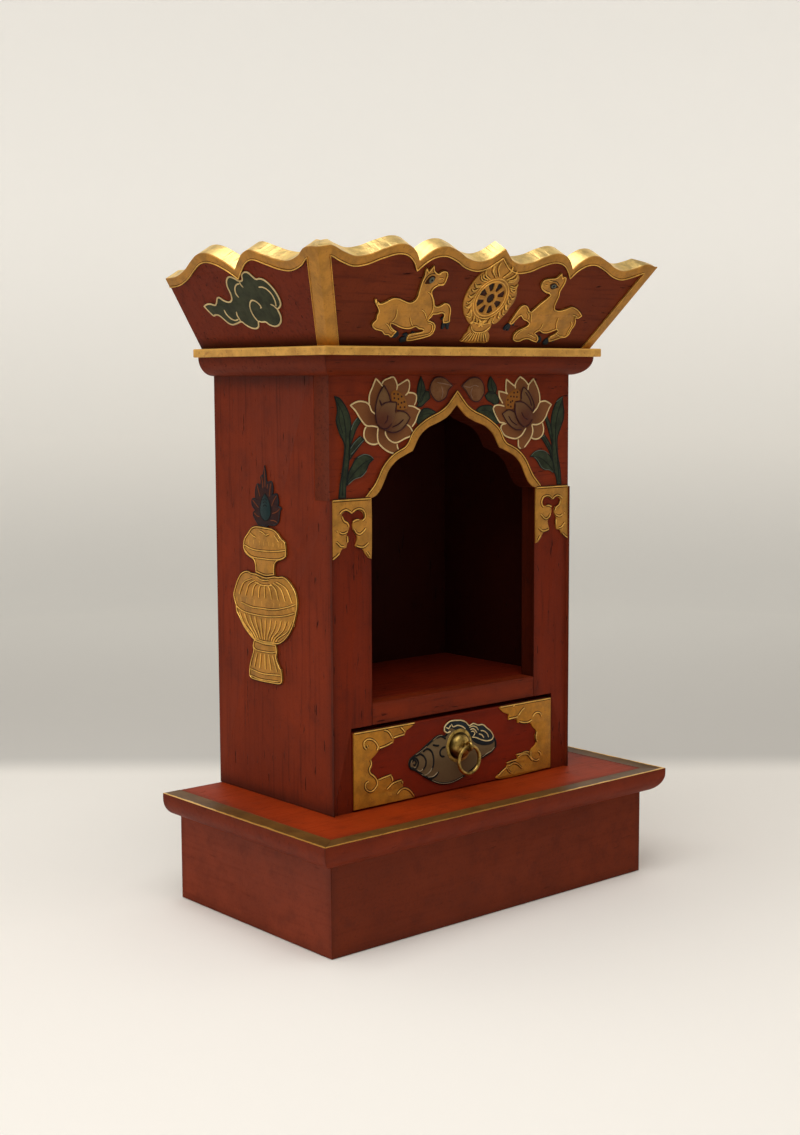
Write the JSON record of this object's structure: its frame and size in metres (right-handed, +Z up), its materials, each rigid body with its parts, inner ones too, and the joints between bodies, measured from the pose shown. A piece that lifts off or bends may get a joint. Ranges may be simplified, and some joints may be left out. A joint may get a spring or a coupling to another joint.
{
  "type": "household altar cabinet",
  "caption": "Red lacquered wooden altar cabinet: moulded plinth, drawer with a brass ring, open arched niche and a flared crown with gilded low relief.",
  "frame": {"origin": "centre of the bounding box at the underside of the plinth", "axes": "+Z up, -Y out of the open front, +X to the viewer's right"},
  "size_m": [0.3252, 0.189, 0.4625],
  "materials": {
    "red_lacquer": "aged red lacquer, satin",
    "plain_wood": "thin red-brown paint, matte",
    "gilding": "worn gilding",
    "brass": "aged brass"
  },
  "bodies": {
    "cabinet": {"plinth_front": "red_lacquer", "plinth_side_left": "red_lacquer", "plinth_side_right": "red_lacquer", "plinth_top": "red_lacquer", "plinth_moulding_front": "red_lacquer", "plinth_moulding_left": "red_lacquer", "plinth_moulding_right": "red_lacquer", "side_left": "red_lacquer", "side_right": "red_lacquer", "stile_left": "red_lacquer", "stile_right": "red_lacquer", "rail": "red_lacquer", "niche_floor": "red_lacquer", "arch_board": "red_lacquer", "cornice_front": "red_lacquer", "cornice_left": "red_lacquer", "cornice_right": "red_lacquer", "crown_front": "red_lacquer", "crown_left": "red_lacquer", "crown_right": "red_lacquer", "plinth_back": "plain_wood", "back_panel": "plain_wood", "abacus": "gilding"},
    "drawer": {"drawer_front": "red_lacquer", "drawer_side_left": "plain_wood", "drawer_side_right": "plain_wood", "drawer_back": "plain_wood", "drawer_bottom": "plain_wood", "ring_boss": "brass", "ring_eye": "brass"},
    "ring": {"ring": "brass"}
  },
  "joints": [
    {"name": "drawer_slide", "type": "slide", "parent": "cabinet", "child": "drawer", "axis": [0, -1, 0], "range_m": [0, 0.095]},
    {"name": "ring_hinge", "type": "hinge", "parent": "drawer", "child": "ring", "pos_m": [0.0018, -0.0504, 0.1122], "axis": [-1, 0, 0], "range_deg": [-18, 165]}
  ]
}
